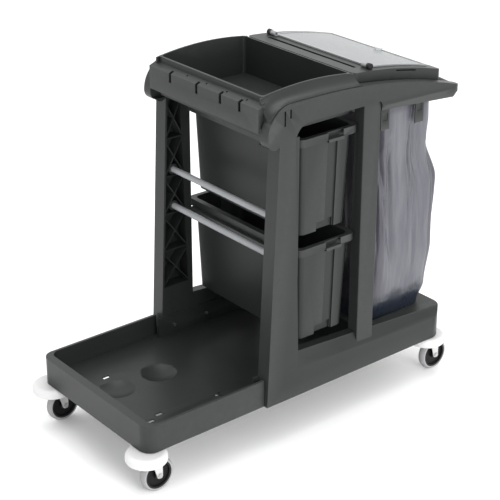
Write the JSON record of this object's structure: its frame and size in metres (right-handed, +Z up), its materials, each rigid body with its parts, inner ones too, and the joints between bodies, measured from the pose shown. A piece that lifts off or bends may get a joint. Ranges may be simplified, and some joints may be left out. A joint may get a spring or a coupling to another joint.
{
  "type": "housekeeping cart",
  "caption": "Wheeled housekeeping cart with a front tray, top tray, two sliding tubs, a hinged bag lid, a waste bag and a push handle on swivel castors.",
  "frame": {"origin": "on the floor, below the middle of the cart's bounding box", "axes": "+X towards the push handle, -X the way the cart is pushed, +Z up, -Y the side with the wide view of the windows"},
  "size_m": [1.174, 0.574, 1.027],
  "materials": {
    "body_plastic": "dark grey moulded plastic with a fine satin grain",
    "bar_grey": "light grey coated round bar",
    "steel": "zinc plated steel",
    "fork_steel": "pale plated pressed steel",
    "black_plastic": "black moulded plastic",
    "lid_clear": "frosted translucent sheet",
    "knob_clear": "clear moulded plastic",
    "bag_film": "thin translucent grey film, creased",
    "bumper_white": "white non-marking plastic",
    "tyre_grey": "pale grey non-marking rubber"
  },
  "bodies": {
    "cart": {"side_frame_left": "body_plastic", "side_frame_right": "body_plastic", "rear_post_left": "body_plastic", "rear_post_right": "body_plastic", "base_tray": "body_plastic", "upper_front_runner": "body_plastic", "upper_rear_runner": "body_plastic", "lower_front_runner": "body_plastic", "lower_rear_runner": "body_plastic", "top_tray": "body_plastic", "bag_frame": "body_plastic", "push_handle": "body_plastic", "bag_clips_left": "body_plastic", "bag_clips_right": "body_plastic", "upper_cross_bar": "bar_grey", "lower_cross_bar": "bar_grey", "frame_screws": "steel", "lid_hinge_pins": "black_plastic", "waste_bag": "bag_film", "front_left_castor_stem": "steel", "front_right_castor_stem": "steel", "rear_left_castor_stem": "steel", "rear_right_castor_stem": "steel"},
    "lid": {"lid_panel": "lid_clear", "lid_knob": "knob_clear"},
    "upper_tub": {"upper_tub": "body_plastic"},
    "lower_tub": {"lower_tub": "body_plastic"},
    "front_left_bumper": {"front_left_bumper": "bumper_white"},
    "front_left_swivel": {"front_left_fork": "fork_steel", "front_left_axle": "steel"},
    "front_left_wheel": {"front_left_wheel_hub": "black_plastic", "front_left_tyre": "tyre_grey"},
    "front_right_bumper": {"front_right_bumper": "bumper_white"},
    "front_right_swivel": {"front_right_fork": "fork_steel", "front_right_axle": "steel"},
    "front_right_wheel": {"front_right_wheel_hub": "black_plastic", "front_right_tyre": "tyre_grey"},
    "rear_left_bumper": {"rear_left_bumper": "bumper_white"},
    "rear_left_swivel": {"rear_left_fork": "fork_steel", "rear_left_axle": "steel"},
    "rear_left_wheel": {"rear_left_wheel_hub": "black_plastic", "rear_left_tyre": "tyre_grey"},
    "rear_right_bumper": {"rear_right_bumper": "bumper_white"},
    "rear_right_swivel": {"rear_right_fork": "fork_steel", "rear_right_axle": "steel"},
    "rear_right_wheel": {"rear_right_wheel_hub": "black_plastic", "rear_right_tyre": "tyre_grey"}
  },
  "joints": [
    {"name": "lid_hinge", "type": "hinge", "parent": "cart", "child": "lid", "pos_m": [0.251, 0, 1.01464], "axis": [0, -1, 0], "range_deg": [0, 105]},
    {"name": "upper_tub_slide", "type": "slide", "parent": "cart", "child": "upper_tub", "axis": [0, 1, 0], "range_m": [-0.34, 0.34]},
    {"name": "lower_tub_slide", "type": "slide", "parent": "cart", "child": "lower_tub", "axis": [0, 1, 0], "range_m": [-0.34, 0.34]},
    {"name": "front_left_bumper_spin", "type": "hinge", "parent": "cart", "child": "front_left_bumper", "pos_m": [-0.53, -0.23, 0.116], "axis": [0, 0, 1], "continuous": true},
    {"name": "front_left_swivel", "type": "hinge", "parent": "cart", "child": "front_left_swivel", "pos_m": [-0.53, -0.23, 0.1], "axis": [0, 0, 1], "continuous": true},
    {"name": "front_left_wheel_spin", "type": "hinge", "parent": "front_left_swivel", "child": "front_left_wheel", "pos_m": [-0.5, -0.23, 0.05], "axis": [0, 1, 0], "continuous": true},
    {"name": "front_right_bumper_spin", "type": "hinge", "parent": "cart", "child": "front_right_bumper", "pos_m": [-0.53, 0.23, 0.116], "axis": [0, 0, 1], "continuous": true},
    {"name": "front_right_swivel", "type": "hinge", "parent": "cart", "child": "front_right_swivel", "pos_m": [-0.53, 0.23, 0.1], "axis": [0, 0, 1], "continuous": true},
    {"name": "front_right_wheel_spin", "type": "hinge", "parent": "front_right_swivel", "child": "front_right_wheel", "pos_m": [-0.5, 0.23, 0.05], "axis": [0, 1, 0], "continuous": true},
    {"name": "rear_left_bumper_spin", "type": "hinge", "parent": "cart", "child": "rear_left_bumper", "pos_m": [0.507, -0.23, 0.116], "axis": [0, 0, 1], "continuous": true},
    {"name": "rear_left_swivel", "type": "hinge", "parent": "cart", "child": "rear_left_swivel", "pos_m": [0.507, -0.23, 0.1], "axis": [0, 0, 1], "continuous": true},
    {"name": "rear_left_wheel_spin", "type": "hinge", "parent": "rear_left_swivel", "child": "rear_left_wheel", "pos_m": [0.537, -0.23, 0.05], "axis": [0, 1, 0], "continuous": true},
    {"name": "rear_right_bumper_spin", "type": "hinge", "parent": "cart", "child": "rear_right_bumper", "pos_m": [0.507, 0.23, 0.116], "axis": [0, 0, 1], "continuous": true},
    {"name": "rear_right_swivel", "type": "hinge", "parent": "cart", "child": "rear_right_swivel", "pos_m": [0.507, 0.23, 0.1], "axis": [0, 0, 1], "continuous": true},
    {"name": "rear_right_wheel_spin", "type": "hinge", "parent": "rear_right_swivel", "child": "rear_right_wheel", "pos_m": [0.537, 0.23, 0.05], "axis": [0, 1, 0], "continuous": true}
  ]
}
